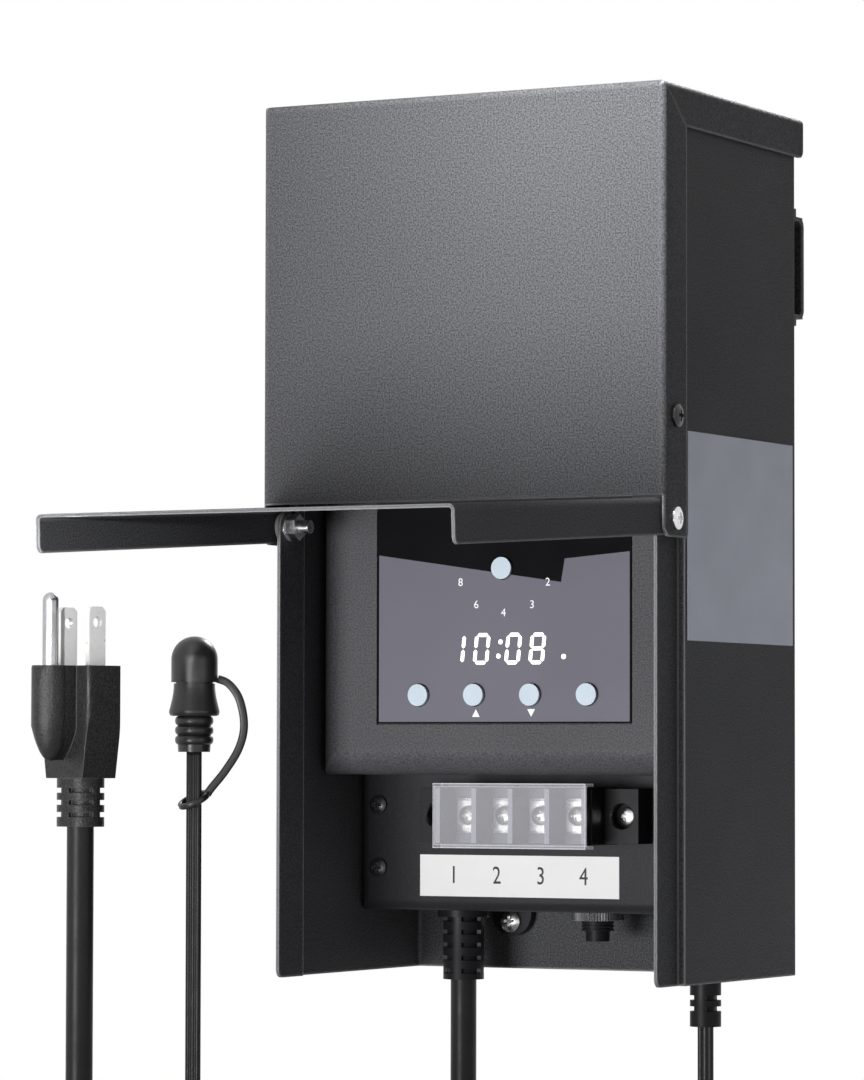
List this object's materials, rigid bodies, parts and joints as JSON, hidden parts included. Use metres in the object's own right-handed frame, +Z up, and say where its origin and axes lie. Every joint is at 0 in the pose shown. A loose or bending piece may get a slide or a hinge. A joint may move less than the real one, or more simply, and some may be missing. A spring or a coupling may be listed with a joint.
{
  "type": "low voltage landscape transformer",
  "caption": "Wall-hung landscape lighting transformer: painted steel box, swing-up front door, timer panel, screw terminals, coiled mains cord with plug, and a light sensor on a lead.",
  "frame": {"origin": "centre of the keyhole's round entry, on the bracket's rear plane that touches the wall", "axes": "+X to the right seen from the front, +Y into the wall, +Z up"},
  "size_m": [0.274, 0.2301, 0.3403],
  "materials": {
    "enclosure_paint": "satin powder coat",
    "bright_steel": "zinc plated",
    "spacer_nylon": "plain",
    "black_steel": "black finish",
    "side_label_film": "satin film",
    "grained_black": "fine grain",
    "faceplate_print": "satin print",
    "display_black": "smoked window",
    "board_green": "coated board",
    "smooth_black": "satin",
    "relay_blue": "moulded",
    "button_ice": "satin",
    "chassis_black": "fine grain",
    "terminal_steel": "plated",
    "clear_plastic": "clear",
    "label_white": "film",
    "core_tape": "taped windings on a steel core",
    "pad_rubber": "plain",
    "cord_jacket": "satin jacket",
    "plug_pvc": "moulded",
    "blade_metal": "plated",
    "lead_jacket": "satin jacket",
    "sensor_plastic": "satin",
    "cell_red": "clear dome"
  },
  "bodies": {
    "enclosure": {"body_shell": "enclosure_paint", "upper_cover": "enclosure_paint", "hanger_bracket": "enclosure_paint", "hinge_screws": "bright_steel", "hinge_spacers": "spacer_nylon", "hinge_washers": "bright_steel", "hinge_nuts": "bright_steel", "cover_screws": "black_steel", "side_label": "side_label_film", "timer_housing": "grained_black", "faceplate": "faceplate_print", "display_module": "display_black", "timer_board": "board_green", "tact_switches": "smooth_black", "relay": "relay_blue", "terminal_box": "chassis_black", "terminal_box_screws": "black_steel", "lug_screws": "bright_steel", "terminal_base": "smooth_black", "terminal_plates": "terminal_steel", "terminal_screws": "terminal_steel", "terminal_mount_screws": "bright_steel", "terminal_label": "label_white", "breaker_body": "smooth_black", "breaker_nut": "chassis_black", "toroidal_core": "core_tape", "core_pads": "pad_rubber", "core_washer": "bright_steel", "core_stud": "bright_steel", "core_nut": "bright_steel", "mains_strain_relief": "smooth_black", "mains_cord": "cord_jacket", "mains_coil": "cord_jacket", "mains_tie": "pad_rubber", "plug_cord": "cord_jacket", "plug_body": "plug_pvc", "plug_blades": "blade_metal", "plug_ground_pin": "blade_metal", "sensor_gland": "smooth_black", "sensor_cord": "lead_jacket", "sensor_coil": "lead_jacket", "sensor_tie": "pad_rubber", "sensor_lead": "lead_jacket", "sensor_body": "sensor_plastic", "photocell": "cell_red", "cap_strap": "pad_rubber"},
    "door_part": {"door": "enclosure_paint"},
    "menu_button_part": {"menu_button": "button_ice"},
    "enter_button_part": {"enter_button": "button_ice"},
    "up_button_part": {"up_button": "button_ice"},
    "down_button_part": {"down_button": "button_ice"},
    "clock_button_part": {"clock_button": "button_ice"},
    "breaker_button_part": {"breaker_button": "smooth_black"},
    "terminal_cover_part": {"terminal_cover": "clear_plastic"},
    "sensor_cap_part": {"sensor_cap": "sensor_plastic"}
  },
  "joints": [
    {"name": "door_hinge", "type": "hinge", "parent": "enclosure", "child": "door_part", "pos_m": [0, -0.0961, -0.0768], "axis": [1, 0, 0], "range_deg": [-1.5, 86.5]},
    {"name": "menu_button_press", "type": "slide", "parent": "enclosure", "child": "menu_button_part", "axis": [0, 1, 0], "range_m": [0, 0.0008], "stiffness_N_per_m": 400},
    {"name": "enter_button_press", "type": "slide", "parent": "enclosure", "child": "enter_button_part", "axis": [0, 1, 0], "range_m": [0, 0.0008], "stiffness_N_per_m": 400},
    {"name": "up_button_press", "type": "slide", "parent": "enclosure", "child": "up_button_part", "axis": [0, 1, 0], "range_m": [0, 0.0008], "stiffness_N_per_m": 400},
    {"name": "down_button_press", "type": "slide", "parent": "enclosure", "child": "down_button_part", "axis": [0, 1, 0], "range_m": [0, 0.0008], "stiffness_N_per_m": 400},
    {"name": "clock_button_press", "type": "slide", "parent": "enclosure", "child": "clock_button_part", "axis": [0, 1, 0], "range_m": [0, 0.0008], "stiffness_N_per_m": 400},
    {"name": "breaker_trip", "type": "slide", "parent": "enclosure", "child": "breaker_button_part", "axis": [0, 0, -1], "range_m": [0, 0.003]},
    {"name": "terminal_cover_pull", "type": "slide", "parent": "enclosure", "child": "terminal_cover_part", "axis": [0, -1, 0], "range_m": [0, 0.014]},
    {"name": "sensor_cap_lift", "type": "slide", "parent": "enclosure", "child": "sensor_cap_part", "axis": [0, 0, 1], "range_m": [0, 0.013], "deforming": ["cap_strap"]}
  ]
}
